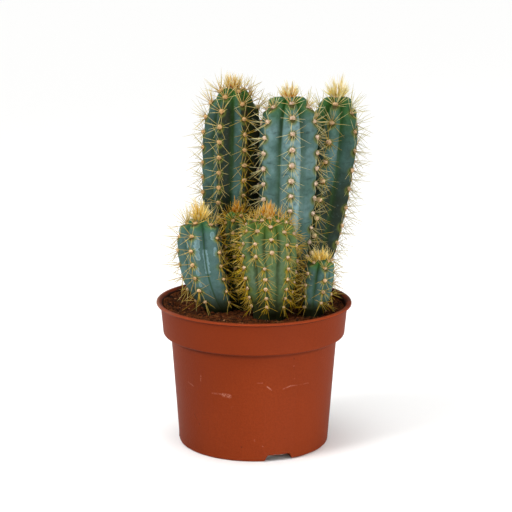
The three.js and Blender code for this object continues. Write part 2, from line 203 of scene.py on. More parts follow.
class Stem(SimpleNamespace):
    """One stem's values, over those that most stems share.

    ribs holds each rib's azimuth and how late its areoles start; split_below its azimuth lower down.
    tucked makes the steps cut in, and folds is how strong the cross lines are. flanks is the bloom of
    the skin's two faces between ribs, from bare to waxy: partly the wax, partly painted shade on faces
    turned from the light; and dusk the heights that it darkens between, with painted shade from the
    stems around it.
    fresh is how far down the dome the tip's green goes. crown is the tuft's length, its lean at the
    edge, how orange its core is and how dense it is; gold how yellow the spines are on the clump's
    outside and inside, the darker gold inside being partly painted shade; wool how amber and how dull
    the pads are; droop how many degrees the spines hang; each how many lie round an areole, stand on it
    and are added on the youngest. marks are patches of thick wax: a rib, the share of the way to the
    next one, the two ends counted in areoles from the top, and the half width.
    """

    flesh = "blue"
    radius = FULL_RADIUS
    groove = 0.34
    bend = 1
    taper_ease = 1
    dome_power = 0.4
    tucked = False
    folds = 0
    flanks = ()
    marks = ()
    split_below = None


STEMS = (
    Stem(
        name="stem_tall_left", foot=(-15.5, 29), tip=(-13.2, 29), height=216,
        foot_radius=12, taper_top=170, taper_ease=0.9, dome=31, dome_power=0.38,
        tucked=True,
        ribs=((-73, 0.0), (-24.5, 0.5), (24, 0.0), (77, 0.35), (132.5, 0.1), (184, 0.6), (235.5, 0.3)),
        pitch=(9.4, 9.4), first=8.2, spine=(8.5, 14), crown=(13, 33, 0.85, 1.05), pad=1.65,
        folds=0.3, gold=(0.35, 0.7), wool=(0.8, 0.4), droop=3, each=(8, 2, 2), fresh=0.45, dusk=(150, 90),
        flanks=((-0.3, -0.3), (-1.15, -0.2), (-2.1, -1.4)),
    ),
    Stem(
        name="stem_tall_middle", foot=(18.4, 13.5), tip=(21.1, 13.5), height=212.5,
        foot_radius=10.5, taper_top=178, taper_ease=1.1, dome=32,
        ribs=((-51.9, 0.35), (6.5, 0.0), (68.1, 0.35), (128.1, 0.6), (188.1, 0.2), (248.1, 0.7)),
        pitch=(9.7, 8.8), first=10.5, spine=(7, 12.5), crown=(12.5, 36, 0.95, 1.15), pad=1.8,
        folds=1, gold=(0.1, 0.35), wool=(0.0, 0.0), droop=42, each=(8, 3, 5), fresh=0.6, dusk=(130, 90),
        flanks=((0.35, 0.65), (0.95, 0.15)),
    ),
    Stem(
        name="stem_tall_right", foot=(33, 29.5), tip=(52.1, 49), height=208.7,
        foot_radius=9.5, taper_top=152, dome=38, dome_power=0.57,
        ribs=((-7.5, 0.0), (55.2, 0.53), (115.2, 0.3), (175.2, 0.8), (235.2, 0.4), (295.2, 0.7)),
        pitch=(12.2, 10.4), first=9.3, spine=(9, 14.5), crown=(16.5, 46, 0.1, 1.1), pad=1.75, folds=0.7,
        gold=(0.05, 0.85), wool=(0.55, 0.0), droop=22, each=(9, 3, 6), fresh=0.85, dusk=(186, 138),
        flanks=((0.6, -0.05), (0.1, -0.1), (0, 0), (0, 0), (0, 0), (-0.4, 0.3)),
    ),
    Stem(
        name="stem_short_left", foot=(-21.2, -2), tip=(-33, -3), height=139.5, bend=2.9,
        radius=13.9, foot_radius=8, taper_top=107, taper_ease=0.6, dome=19, groove=0.28,
        ribs=((-80, 0.2), (-23, 0.0), (55, 0.2), (115, 0.5), (170, 0.1), (225, 0.6)),
        pitch=(9.2, 7), first=6.5, spine=(8.5, 14), crown=(17, 42, 0.2, 0.65), flesh="waxy", pad=1.45,
        gold=(0.55, 0.85), wool=(0.7, 0.0), droop=18, each=(7, 2, 4), fresh=0.5, dusk=(90, 80),
        flanks=((0.35, 0.3), (0.3, 0.15)),
        marks=((1, 0.2, 1.2, 1.7, 2.9), (1, 0.2, 2.1, 2.5, 2.5), (1, 0.14, 3.3, 3.7, 1.4),
               (1, 0.12, 4.2, 4.6, 1.2), (1, 0.83, 0.85, 1.15, 2.0), (1, 0.85, 1.9, 2.3, 1.7),
               (1, 0.5, 2.2, 3.6, 2.9), (0, 0.75, 1.3, 1.5, 1.8)),
    ),
    Stem(
        name="stem_short_green", foot=(9.5, -17), tip=(8.3, -16.5), height=144.3,
        radius=17.2, foot_radius=10.4, taper_top=125, dome=19, groove=0.36,
        ribs=((-62, 0.35), (-28, 0.18), (6, -0.2), (40, 0.3), (74, 0.6), (110, 0.1),
              (147, 0.5), (184, 0.2), (221, 0.7), (260, 0.0)),
        split_below=(-61, -8, -2, 43, 49, 98, 150, 198, 204, 250), split_height=119.5,
        pitch=(8.2, 5), first=6.5, spine=(6, 9.5), crown=(13, 16, 1.0, 0.35), flesh="green", pad=1.35,
        gold=(0.75, 1.0), wool=(0.3, 0.0), droop=50, each=(9, 3, -2), fresh=0.9, dusk=(104, 84),
        flanks=((0.2, 0.1), (-0.3, 0.1), (0.1, 0.3), (0.3, 0.0)),
    ),
    Stem(
        name="stem_small_right", foot=(36, -12.5), tip=(40, -12.5), height=117,
        radius=9.6, foot_radius=6.5, taper_top=103, taper_ease=0.8, dome=12, groove=0.26,
        ribs=((-48.7, 0.1), (23.3, 0.6), (95.3, 0.1), (167.3, 0.5), (239.3, 0.8)),
        pitch=(7.4, 6.6), first=4.5, spine=(6.5, 10.5), crown=(12, 40, 0.3, 0.45), pad=1.3,
        gold=(0.6, 0.9), wool=(0.4, 0.0), droop=22, each=(8, 3, 3), fresh=0.6, dusk=(96, 82),
        flanks=((-0.2, 0.1),),
    ),
    Stem(
        name="stem_small_back", foot=(-7.2, 3), tip=(-10.8, 1.5), height=143.4,
        radius=7.8, foot_radius=6, taper_top=115, taper_ease=0.9, dome=11, groove=0.26,
        ribs=((-20, 0.5), (32, 0.1), (83, 0.6), (135, 0.2), (186, 0.7), (237, 0.3), (289, 0.8)),
        pitch=(7.6, 7), first=4.5, spine=(6.5, 10), crown=(11, 24, 1.0, 0.22), flesh="green", pad=1.3,
        gold=(0.95, 1.0), wool=(0.8, 0.4), droop=30, each=(6, 2, 3), fresh=0.9, dusk=(135, 100),
    ),
)

# Areoles and spines
PAD_SIDES = 10
PAD_RINGS = 6
PAD_RISE = 0.72
PAD_TILT = 0.3
PAD_SIZES = (0.85, 1.08)
PAD_JITTER = (-0.24, 0.2)
PAD_TALLNESS = 0.9
PAD_WRAP = 0.66
PAD_LIFT = 0.15
PAD_AGEING = 0.6
YOUNG_PAD = 0.62
OLD_PAD = 0.85
SPINE_RADIUS = 0.165
SPINE_SIDES = 3
SPINE_STATIONS = ((0.0, 1.0), (0.5, 0.85), (0.85, 0.5))
SPINE_BEND = 0.04
ANY_SLANT = (0.31, 0.17, 0.93)
SPINE_REACH = (77.2, 71.3)
CLUMP_CENTRE = (12, 10)
INNER_CROWDING = 1.35
INNER_FACING = (-0.3, 0.7)
FRESH_SHARE = 0.2
FRESH_DROOP = -55
FRESH_RISE = 6
FRESH_LENGTH = 1.1
FRESH_THICKNESS = 1.15
FRESH_WARMTH = 0.25
LOW_DROOP = 30
LOW_CROWDING = 0.4
LOW_GOLD = 0.3
TONE_SPREAD = 0.25
RADIAL_RISE = (12, 50)
RADIAL_WIDTH = 1.25
RADIAL_ROOT = 0.45
CENTRAL_LEAN = (10, 45)
CENTRAL_LENGTH = 1.02
CENTRAL_THICKNESS = 1.2
SPINE_OVER_SOIL = 0.9
CROWN_AREOLES = 18
CROWN_SPINES_EACH = (26, 13)
CROWN_STRAIGHTEST = 2
CROWN_LENGTH = (1.12, 0.6)
CROWN_SPREAD = 7
CROWN_TALLNESS = (0.7, 1.15)
CROWN_CUT = (0.5, 1.0)
CROWN_GOLD = 0.4
CROWN_THICKNESS = (1.25, 0.95)
CROWN_RADIUS = 2.3
CROWN_MARGIN = 0.8
CROWN_SINK = 0.4
CROWN_FALL = 0.5
GOLDEN_TURN = 2.39996
SPINE_SINK = 0.6
SPINE_CLEARANCE = 0.15
POT_CLEARANCE = 0.3
CUT_AT_STEM = 0.13
CUT_AT_POT = 0.1
SPINE_PROBES = (0.2, 1.0, 9)
SHORTEST_SPINE = 0.7


def clamp(value, low=0.0, high=1.0):
    return np.minimum(np.maximum(value, low), high)


def lerp(a, b, share):
    return a + (b - a) * share


def smoothstep(value, low, high):
    t = clamp((value - low) / (high - low))
    return t * t * (3 - 2 * t)


def unit(vector):
    return vector / np.linalg.norm(vector, axis=-1, keepdims=True)


def around(azimuth, radius, z):
    """The point at an azimuth and radius from the pot's axis."""
    turn = radians(azimuth)
    return np.array([radius * sin(turn), -radius * cos(turn), z])


def linear(colour):
    """A colour given as red, green and blue from 0 to 255, in Blender's linear values."""
    shares = [value / 255 for value in colour]
    return [*(c / 12.92 if c <= 0.04045 else ((c + 0.055) / 1.055) ** 2.4 for c in shares), 1.0]


class Shader:
    """A material's nodes, made one call at a time, over the colour made so far."""

    def __init__(self, name, colour=None):
        self.material = bpy.data.materials.new(name)
        self.material.use_nodes = True
        self.tree = self.material.node_tree
        self.surface = self.tree.nodes["Principled BSDF"]
        self.colour = colour

    def put(self, socket, value):
        if isinstance(value, bpy.types.NodeSocket):
            self.tree.links.new(value, socket)
        else:
            socket.default_value = value

    def add(self, kind, inputs, **settings):
        """A new node with its settings, and its inputs by name or number."""
        node = self.tree.nodes.new(kind)
        for name, value in settings.items():
            setattr(node, name, value)
        for key, value in inputs.items():
            self.put(node.inputs[key], value)
        return node

    def attribute(self, name):
        return self.add("ShaderNodeAttribute", {}, attribute_name=name).outputs["Fac"]

    def place(self):
        return self.add("ShaderNodeTexCoord", {}).outputs["Object"]

    def noise(self, scale, detail=3.0, roughness=0.55, stretch=(1, 1, 1), offset=(0, 0, 0)):
        mapping = self.add("ShaderNodeMapping", dict(Vector=self.place(), Scale=stretch, Location=offset))
        inputs = dict(Vector=mapping.outputs["Vector"], Scale=scale, Detail=detail, Roughness=roughness)
        return self.add("ShaderNodeTexNoise", inputs).outputs["Fac"]

    def math(self, operation, a, b):
        return self.add("ShaderNodeMath", {0: a, 1: b}, operation=operation).outputs[0]

    def times(self, *values):
        return reduce(lambda a, b: self.math("MULTIPLY", a, b), values)

    def span(self, value, low, high, to_low=0.0, to_high=1.0):
        """Maps a value from low and high to the other two, eased at both ends."""
        inputs = {"Value": value, "From Min": low, "From Max": high, "To Min": to_low, "To Max": to_high}
        return self.add("ShaderNodeMapRange", inputs, interpolation_type="SMOOTHSTEP").outputs["Result"]

    def mix(self, factor, a, b):
        """A blend of two colours, each a socket or given as 0 to 255."""
        a, b = (linear(colour) if isinstance(colour, tuple) else colour for colour in (a, b))
        return self.add("ShaderNodeMix", {0: factor, 6: a, 7: b}, data_type="RGBA").outputs[2]

    def lay(self, factor, tint):
        """Lays a tint over the colour so far."""
        self.colour = self.mix(factor, self.colour, tint)

    def coat(self, value, low, high, tint, most=1.0):
        """Lays a tint over the colour where a value passes from low to high."""
        self.lay(self.span(value, low, high, 0.0, most), tint)

    def bump(self, height, distance):
        return self.add("ShaderNodeBump", dict(Distance=distance, Height=height)).outputs["Normal"]

    def stroke(self, start, end, half_width):
        """1 along the line from start to end, in metres, falling to 0 at its edge."""
        along = end - start
        length = float(np.linalg.norm(along))
        turn = (0, -asin(along[2] / length), atan2(along[1], along[0]))
        inputs = dict(Vector=self.place(), Location=(start + end) / 2, Rotation=turn, Scale=[half_width] * 3)
        value = self.add("ShaderNodeMapping", inputs, vector_type="TEXTURE").outputs["Vector"]
        past_end = ("SUBTRACT", (length / 2 / half_width, 0, 0))
        for operation, other in (("ABSOLUTE", (0, 0, 0)), past_end, ("MAXIMUM", (0, 0, 0))):
            value = self.add("ShaderNodeVectorMath", {0: value, 1: other}, operation=operation).outputs[0]
        distance = self.add("ShaderNodeVectorMath", {0: value}, operation="LENGTH").outputs["Value"]
        return self.span(distance, 1.0, 0.2)

    def finish(self, roughness, gloss, **others):
        """Sets the surface's inputs and gives the material."""
        inputs = dict(Base_Color=self.colour, Roughness=roughness, Specular_IOR_Level=gloss, **others)
        for name, value in inputs.items():
            self.put(self.surface.inputs[name.replace("_", " ")], value)
        return self.material


def flesh_material(name, bare, body, wax, tip, olive, crease_tint_and_shade, crease_from=0.62, marks=()):
    """Waxy skin: green at the tip, dark in the grooves partly by colour and partly by painted shade, olive
    round each areole with a painted shadow under it, painted shade low down, and pale wax in places.
    """
    s = Shader(name, (50, 40, 14))
    groove = s.attribute("groove")
    ring = s.attribute("ring")
    drift = s.span(s.noise(40, 3, offset=(3, 1, 2)), 0.3, 0.7, -0.35, 0.35)
    # The bloom attribute: the skin's wax, lowered by painted shade on faces turned from the light and low
    # down
    bloom = s.math("ADD", s.attribute("bloom"), drift)
    s.coat(bloom, -2.0, -1.2, bare)
    s.coat(bloom, -1.0, 0.0, body)
    s.coat(bloom, 0.0, 1.3, wax)
    mottle = s.noise(260, 5, 0.6)
    s.coat(mottle, 0.38, 0.7, bare, 0.35)
    fleck = s.noise(700, 2, offset=(6, 2, 7))
    s.coat(fleck, 0.6, 0.75, wax, 0.12)
    ragged = s.span(s.noise(420, 3, 0.6, offset=(1, 5, 2)), 0.3, 0.7, -0.3, 0.3)
    for ends_and_width in marks:
        mark = s.math("ADD", s.stroke(*ends_and_width), ragged)
        cover = s.times(s.span(mark, 0.3, 0.5), s.span(mark, 1.1, 0.7, 0.55, 1.0))
        s.lay(s.times(cover, 0.55), (126, 156, 162))
    fold = s.times(s.attribute("fold"), s.span(s.noise(150, 2, offset=(2, 2, 8)), 0.35, 0.6))
    s.lay(s.times(fold, 0.6), bare)
    # Down the middle of each groove: partly the crease's colour, partly painted shade, strongest near the
    # tip
    s.lay(s.times(s.span(groove, crease_from, 1.0), s.attribute("depth")), crease_tint_and_shade)
    s.lay(s.times(s.attribute("tip"), s.span(groove, -0.7, 0.8)), tip)
    # Olive round each areole; its darker core below the pad is a painted shadow
    s.coat(ring, 0.03, 0.35, olive, 0.75)
    s.coat(ring, 0.4, 0.7, (58, 52, 14), 0.9)
    # Painted shade low on the stem, darkest at the soil
    s.coat(s.attribute("low"), 0.36, 0.0, (36, 40, 18))
    relief = s.math("SUBTRACT", s.math("ADD", mottle, s.times(fleck, 0.5)), s.times(fold, 0.6))
    return s.finish(
        s.span(mottle, 0.3, 0.7, 0.55, 0.66), 0.12, Normal=s.bump(relief, 0.0006),
        Subsurface_Weight=0.05, Subsurface_Scale=0.002, Subsurface_Radius=(0.5, 1.0, 0.5),
    )


def spine_material():
    """Spines: amber at the root, straw along the shaft, browner at the tip; the crown's are orange."""
    s = Shader("spines")
    along = s.attribute("along")
    tone = s.attribute("tone")
    core = s.attribute("core")
    # tone runs from pale straw to a darker gold, which on spines inside the clump is partly painted shade
    s.colour = s.mix(tone, (174, 168, 122), (164, 128, 16))
    s.coat(along, 0.3, 0.0, (140, 94, 22))
    s.coat(along, 0.8, 1.0, (164, 132, 80), 0.4)
    middle = s.mix(tone, (248, 228, 130), (228, 174, 24))
    inmost = s.mix(core, middle, s.mix(tone, (250, 146, 20), (180, 92, 0)))
    end = s.mix(tone, (232, 228, 202), (230, 198, 104))
    held = s.span(s.times(tone, core), 0.3, 1.0, 1.0, 0.25)
    orange = s.mix(s.times(s.span(along, 0.2, 0.75), held), inmost, middle)
    orange = s.mix(s.times(s.span(along, 0.5, 0.95), held), orange, end)
    s.lay(s.attribute("warm"), orange)
    return s.finish(
        0.6, 0.06, Subsurface_Weight=0.3, Subsurface_Scale=0.001, Subsurface_Radius=(1.0, 0.85, 0.45),
    )


def wool_material():
    """The felt of the areoles: pinkish where young, amber on the golden stems, dull with age, and painted
    shade on each pad's underside.
    """
    s = Shader("areole_wool")
    fluff = s.noise(1100, 4, 0.7)
    shade = s.span(fluff, 0.35, 0.65)
    s.colour = s.mix(shade, (178, 142, 112), (222, 202, 180))
    s.lay(s.attribute("amber"), s.mix(shade, (190, 144, 84), (228, 190, 132)))
    s.lay(s.attribute("old"), (168, 126, 66))
    # Painted shade on each pad's lower side
    s.lay(s.times(s.attribute("under"), 0.5), (146, 98, 54))
    return s.finish(0.95, 0.1, Sheen_Weight=0.15, Sheen_Roughness=0.5, Normal=s.bump(fluff, 0.0008))


def soil_material():
    """Damp peat, from near black to reddish brown."""
    s = Shader("peat", (18, 8, 4))
    lump = s.noise(320, 6, 0.65)
    s.coat(lump, 0.35, 0.62, (88, 46, 16))
    s.coat(s.noise(140, 3, offset=(5, 2, 1)), 0.5, 0.7, (98, 44, 12), 0.5)
    return s.finish(0.95, 0.08, Normal=s.bump(lump, 0.002))


def grain_material():
    """Peat crumbs and bark, each with a tone of its own."""
    s = Shader("peat_grains", (24, 12, 6))
    tone = s.attribute("tone")
    s.coat(tone, 0.0, 0.8, (90, 46, 18))
    s.coat(tone, 0.95, 1.0, (146, 100, 66))
    speckle = s.noise(900, 3)
    s.coat(speckle, 0.45, 0.7, (52, 28, 18), 0.45)
    return s.finish(0.92, 0.1, Normal=s.bump(speckle, 0.0004))


def fibre_material():
    """Straw-like root fibres."""
    s = Shader("peat_fibres", (66, 34, 16))
    s.lay(s.attribute("tone"), (124, 80, 40))
    s.coat(s.noise(700, 2), 0.4, 0.7, (56, 34, 20), 0.4)
    return s.finish(0.85, 0.1)


def pot_material():
    """Terracotta-coloured plastic: satin, faintly mottled and scuffed; dark inside the rim with dust and
    painted shade; the lip dusty at the back, with dust and a painted sheen at its left edge.
    """
    s = Shader("pot_plastic", (102, 37, 11))
    broad = s.noise(9, 3)
    fine = s.noise(900, 2, offset=(4, 4, 4))
    s.coat(broad, 0.35, 0.65, (111, 42, 14))
    s.coat(fine, 0.3, 0.7, (94, 33, 9), 0.35)
    s.coat(s.noise(60, 5, 0.7, stretch=(1, 1, 2.2), offset=(9, 1, 3)), 0.68, 0.76, (150, 84, 60), 0.3)
    broken = s.span(s.noise(1300, 3, offset=(2, 6, 1)), 0.38, 0.58)
    for marks, tint in ((CHALK_MARKS, (182, 128, 108)), (DARK_MARKS, (44, 20, 12))):
        for *ends, half_width, strength in marks:
            start, end = (around(az, wall_radius(z), z) * MM for az, z in (ends[:2], ends[2:]))
            s.lay(s.times(s.stroke(start, end, half_width * MM), broken, strength), tint)
    height = s.add("ShaderNodeSeparateXYZ", {"Vector": s.place()}).outputs["Z"]
    lip_foot = LIP_FOOT * MM
    # A painted highlight along the top of the lip's face
    s.coat(height, lip_foot + LIP_HIGHLIGHT[0], lip_foot + LIP_HIGHLIGHT[1], (130, 52, 22), 0.5)
    # Painted shadow lines under the lip and under the collar
    for edge, sides, strength, tint in (
        (lip_foot, LIP_SHADOW_LINE, 0.7, (44, 14, 6)), (BODY_TOP_HEIGHT * MM, COLLAR_SHADE, 0.55, (50, 18, 8)),
    ):
        band = [s.span(height, edge + start, edge + full) for start, full in sides]
        s.lay(s.times(*band, strength), tint)
    dust_and_shade = s.noise(120, 4, offset=(1, 7, 3))
    # Inside the rim: darkened by dust and painted shade
    inside = s.math("ADD", s.attribute("inside"), s.span(dust_and_shade, 0.3, 0.7, -0.25, 0.25))
    s.coat(inside, 0.3, 0.8, (40, 22, 14), 0.9)
    # Dust on the back of the lip, and a pale patch at its left edge: dust and a painted sheen
    for part, least, tint in (("lip", 0.2, (72, 40, 27)), ("lip_dust_and_sheen", 0.35, (138, 94, 77))):
        s.lay(s.times(s.attribute(part), s.span(dust_and_shade, 0.3, 0.6, least, 0.8)), tint)
    return s.finish(s.span(broad, 0.3, 0.7, 0.52, 0.6), 0.05, Normal=s.bump(fine, 0.00012))


def floor_material():
    """Smooth white paper."""
    s = Shader("floor_paper", (247, 247, 246))
    s.lay(s.noise(900, 2), (251, 251, 250))
    return s.finish(0.9, PAPER_GLOSS)


def add_object(name, data):
    obj = bpy.data.objects.new(name, data)
    bpy.context.scene.collection.objects.link(obj)
    return obj


def add_attributes(mesh, attributes):
    """Gives each point of the mesh a value under each name."""
    for name, values in attributes.items():
        layer = mesh.attributes.new(name, "FLOAT", "POINT")
        layer.data.foreach_set("value", np.asarray(values, dtype=np.float32).ravel())


def build_mesh(name, points, faces, material, smooth=True, **attributes):
    """A mesh object from points in millimetres."""
    mesh = bpy.data.meshes.new(name)
    mesh.from_pydata((np.reshape(points, (-1, 3)) * MM).tolist(), [], faces)
    add_attributes(mesh, attributes)
    mesh.polygons.foreach_set("use_smooth", [smooth] * len(mesh.polygons))
    mesh.materials.append(material)
    mesh.update()
    return add_object(name, mesh)


def grid_faces(rows, columns):
    """Quads between rows of points, each row a ring."""
    faces = []
    for j in range(rows - 1):
        for i in range(columns):
            k = (i + 1) % columns
            faces.append((j * columns + i, j * columns + k, (j + 1) * columns + k, (j + 1) * columns + i))
    return faces


def capped_faces(rows, columns):
    """The quads of a stack of rings, with a face across each end."""
    last = (rows - 1) * columns
    return grid_faces(rows, columns) + [tuple(range(columns))[::-1], tuple(range(last, last + columns))]


def copies(faces, count, stride):
    """The faces of one shape, repeated for each of its copies."""
    return [tuple(k * stride + i for i in face) for k in range(count) for face in faces]


def apply_modifiers(obj):
    """Replaces the object's mesh by what its modifiers make of it."""
    evaluated = obj.evaluated_get(bpy.context.evaluated_depsgraph_get())
    mesh = bpy.data.meshes.new_from_object(evaluated)
    old = obj.data
    obj.modifiers.clear()
    obj.data = mesh
    bpy.data.meshes.remove(old)
    mesh.name = obj.name


def way_up(stem, z, top=None):
    """A height's share of the way from the soil to the stem's top, or to another height."""
    return clamp((z - SOIL_LEVEL) / ((top or stem.height) - SOIL_LEVEL))


def way_down(stem, z):
    """A height's share of the way from the stem's top to the soil."""
    return (stem.height - z) / (stem.height - SOIL_LEVEL)


def stem_centre(stem, z):
    share = 1 - (1 - way_up(stem, z)) ** stem.bend
    return [lerp(foot, tip, share) for foot, tip in zip(stem.foot, stem.tip)]


def off_axis(stem, z, azimuth, radius):
    """The point at a height, an azimuth and a distance from the stem's axis."""
    x, y = stem_centre(stem, z)
    turn = np.radians(azimuth)
    return np.stack([x + radius * np.sin(turn), y - radius * np.cos(turn), z], axis=-1)


def crest_radius(stem, z):
    swell = np.sin(way_up(stem, z, stem.taper_top) * pi / 2) ** stem.taper_ease
    into_dome = clamp((z - stem.height + stem.dome) / stem.dome)
    return lerp(stem.foot_radius, stem.radius, swell) * (1 - into_dome ** 2) ** stem.dome_power


def rib_azimuths(stem, z):
    azimuths = [azimuth for azimuth, _ in stem.ribs]
    if not stem.split_below:
        return azimuths
    above = smoothstep(z, stem.split_height - SPLIT_BLEND, stem.split_height + SPLIT_BLEND)
    return [lerp(b, a, above) for a, b in zip(azimuths, stem.split_below)]


def areole_heights(stem):
    """For each rib, the heights of its areoles from the tip down. Merged ribs share one row."""
    table = []
    for rib, (_, start) in enumerate(stem.ribs):
        z = float(stem.height)
        due = stem.first + start * stem.pitch[0]
        travelled = 0.0
        heights = []
        while z > SOIL_LEVEL + LOWEST_AREOLE:
            lower = z - AREOLE_STEP
            travelled += hypot(crest_radius(stem, lower) - crest_radius(stem, z), AREOLE_STEP)
            z = lower
            azimuths = rib_azimuths(stem, z)
            alone = rib == 0 or azimuths[rib] - azimuths[rib - 1] > MERGED_RIB_GAP
            if travelled >= due and alone:
                heights.append(z)
                due += lerp(*stem.pitch, way_down(stem, z))
        table.append(heights)
    return table


def step_between(stem, heights, z):
    """How far the skin at z has stepped out below an areole, and in above the next; the gap there."""
    stops = np.array([stem.height, *heights, SOIL_LEVEL - FOOT_DEPTH])
    k = clamp(np.searchsorted(-stops, -z, side="right") - 1, 0, len(stops) - 2).astype(int)
    gap = stops[k] - stops[k + 1]
    t = clamp((z - stops[k + 1]) / gap)
    return t * (1 - t ** STEP_EDGE), (1 - t) * (1 - (1 - t) ** STEP_EDGE) * (z < heights[0]), gap


def skin(stem, heights, z, rib, share):
    """A point of the skin at height z, on the way from a rib to the next one."""
    azimuths = rib_azimuths(stem, z)
    start = azimuths[rib]
    following = azimuths[rib + 1] if rib + 1 < len(azimuths) else azimuths[0] + 360
    into = 1 - abs(2 * share - 1)
    gap_share = (clamp(following - start, 0.1, 360) / RIB_GAP_AT_FULL_DEPTH) ** GROOVE_GAP_POWER
    dome_foot = stem.height - stem.dome
    dome = smoothstep(z, *(dome_foot + share_of_dome * stem.dome for share_of_dome in DOME_GROOVE_SPAN))
    depth = stem.groove * gap_share * lerp(GROOVE_FOOT_SHARE, 1, way_up(stem, z))
    depth = depth * lerp(1, DOME_GROOVE_DEEPER, dome)
    owner = rib if share <= 0.5 else (rib + 1) % len(azimuths)
    step, tuck, gap = step_between(stem, heights[owner], z)
    weight = (1 - into) * smoothstep(z, SOIL_LEVEL, SOIL_LEVEL + STEPLESS_FOOT)
    stairs = smoothstep(z, dome_foot - STEPS_FADE * stem.dome, dome_foot)
    shift = tuck if stem.tucked else -step
    warped = z + STEP_SHARE * gap * shift * weight * stairs
    radius = crest_radius(stem, warped)
    radius = radius + SCALLOP * step * weight * stem.radius / FULL_RADIUS
    radius = radius * (1 - depth * into ** lerp(CREST_ROUNDING, DOME_GROOVE_ROUNDING, dome))
    radius = np.where(z >= stem.height - 1e-6, 0, radius)
    return off_axis(stem, z, lerp(start, following, share), radius)


def stem_rows(stem):
    """Heights of the rows of points, evenly up the column and by equal angles over the dome."""
    dome_foot = stem.height - stem.dome
    count = round((dome_foot - SOIL_LEVEL + FOOT_DEPTH) / ROW_SPACING)
    column = np.linspace(SOIL_LEVEL - FOOT_DEPTH, dome_foot, count, endpoint=False)
    dome = dome_foot + stem.dome * np.sin(np.linspace(0, pi / 2, DOME_ROWS))
    return np.concatenate([column, dome])


def wrinkles(points, draw):
    """Small uneven swellings of the skin, as a height at each point."""
    total = np.zeros(points.shape[:-1])
    for _ in range(WRINKLE_WAVES):
        wave = np.array([draw.uniform(-most, most) for most in WRINKLE_RATES])
        total += np.sin(points @ wave + draw.uniform(0, 2 * pi))
    return total / sqrt(WRINKLE_WAVES)


def make_flesh(stem, heights, material, draw):
    rows = stem_rows(stem)
    climb = np.hypot(np.diff(rows), np.diff(crest_radius(stem, rows)))
    travelled = np.concatenate([[0], np.cumsum(climb)])
    ribs = len(stem.ribs)
    columns = ribs * STEPS_PER_RIB
    points = np.zeros((len(rows), columns, 3))
    groove, ring, fold, depth = (np.zeros((len(rows), columns)) for _ in range(4))
    bloom = np.zeros(columns)
    # Each face's bloom: partly its wax, partly painted shade on faces turned from the light
    faces_bloom = list(stem.flanks)
    while len(faces_bloom) < ribs:
        faces_bloom.append((draw.uniform(*PLAIN_BLOOM), draw.uniform(*PLAIN_BLOOM)))
    for column in range(columns):
        rib, step = divmod(column, STEPS_PER_RIB)
        share = step / STEPS_PER_RIB
        near_side = min(share, 1 - share)
        points[:, column] = skin(stem, heights, rows, rib, share)
        groove[:, column] = 2 * near_side
        owner = rib if share <= 0.5 else (rib + 1) % ribs
        bloom[column] = faces_bloom[rib][0 if share <= 0.5 else 1]
        across = near_side * 2 * pi / ribs * crest_radius(stem, rows)
        stops = np.interp(heights[owner], rows, travelled)
        drop = stops[None, :] - travelled[:, None]
        around_pad = np.hypot((drop - RING_DROP * stem.pad) / RING_TALLNESS, across[:, None])
        ring[:, column] = np.exp(-(around_pad.min(axis=1) / (stem.pad * RING_WIDTH)) ** 2)
        half_way = drop - stem.pitch[0] / 2 - FOLD_SLOPE * across[:, None]
        near_tip = smoothstep(rows, stem.height - 2 * stem.dome, stem.height)
        # How strong the painted shade in the groove is, growing towards the tip
        depth[:, column] = lerp(GROOVE_SHADE[stem.flesh], TIP_GROOVE_SHADE, near_tip)
        line = np.exp(-((np.abs(half_way).min(axis=1) / FOLD_WIDTH) ** 2)) * stem.folds
        fold[:, column] = line * smoothstep(2 * near_side, 0.12, 0.3) * smoothstep(2 * near_side, 0.85, 0.6)
    bloom = (np.roll(bloom, 1) + bloom + np.roll(bloom, -1)) / 3
    # Painted shade low on the stem, where the stems around it shade it
    dusk = PAINTED_SHADE * smoothstep(-rows, -stem.dusk[0], -stem.dusk[1])[:, None]
    bloom = np.maximum(bloom[None, :] - dusk, np.minimum(bloom, BARE_BLOOM))
    axis = np.stack([*stem_centre(stem, rows), rows], axis=-1)[:, None]
    outward = points - axis
    distance = np.linalg.norm(outward, axis=-1, keepdims=True)
    fade = clamp(distance / SMOOTH_TIP_RADIUS)
    relief = WRINKLE * wrinkles(points, draw) - FOLD_DEPTH * fold
    points = points + outward / np.maximum(distance, 1e-6) * fade * relief[..., None]
    low = way_up(stem, points[..., 2])
    tip = smoothstep(points[..., 2], stem.height - stem.fresh * stem.dome, stem.height - 1)
    obj = build_mesh(
        stem.name + "_flesh", points, capped_faces(len(rows), columns)[:-1], material,
        groove=groove, ring=ring, fold=fold, depth=depth, low=low, tip=tip, bloom=bloom,
    )
    weld = obj.modifiers.new("weld", "WELD")
    weld.merge_threshold = WELD_DISTANCE
    apply_modifiers(obj)
    return obj


def crest_point(stem, z, rib):
    """The crest's place at a height, without its steps."""
    return off_axis(stem, z, rib_azimuths(stem, z)[rib], crest_radius(stem, z))


def areole_frames(stem, heights):
    """Each areole's place and its directions up the crest, across it and outward."""
    found = []
    for rib, stops in enumerate(heights):
        for z in stops:
            axis = np.array([*stem_centre(stem, z), z])
            point = skin(stem, heights, np.array(z), rib, 0.0)
            above = crest_point(stem, min(z + SLOPE_REACH, stem.height), rib)
            up = unit(above - crest_point(stem, z - SLOPE_REACH, rib))
            across = unit(np.cross(up, point - axis))
            outward = unit(point[:2] - axis[:2])
            facing = float(outward @ unit(np.array(CLUMP_CENTRE) - point[:2]))
            found.append(SimpleNamespace(
                point=point, up=up, across=across, normal=np.cross(across, up), low=way_down(stem, z),
                inner=smoothstep(facing, *INNER_FACING),
            ))
    return found


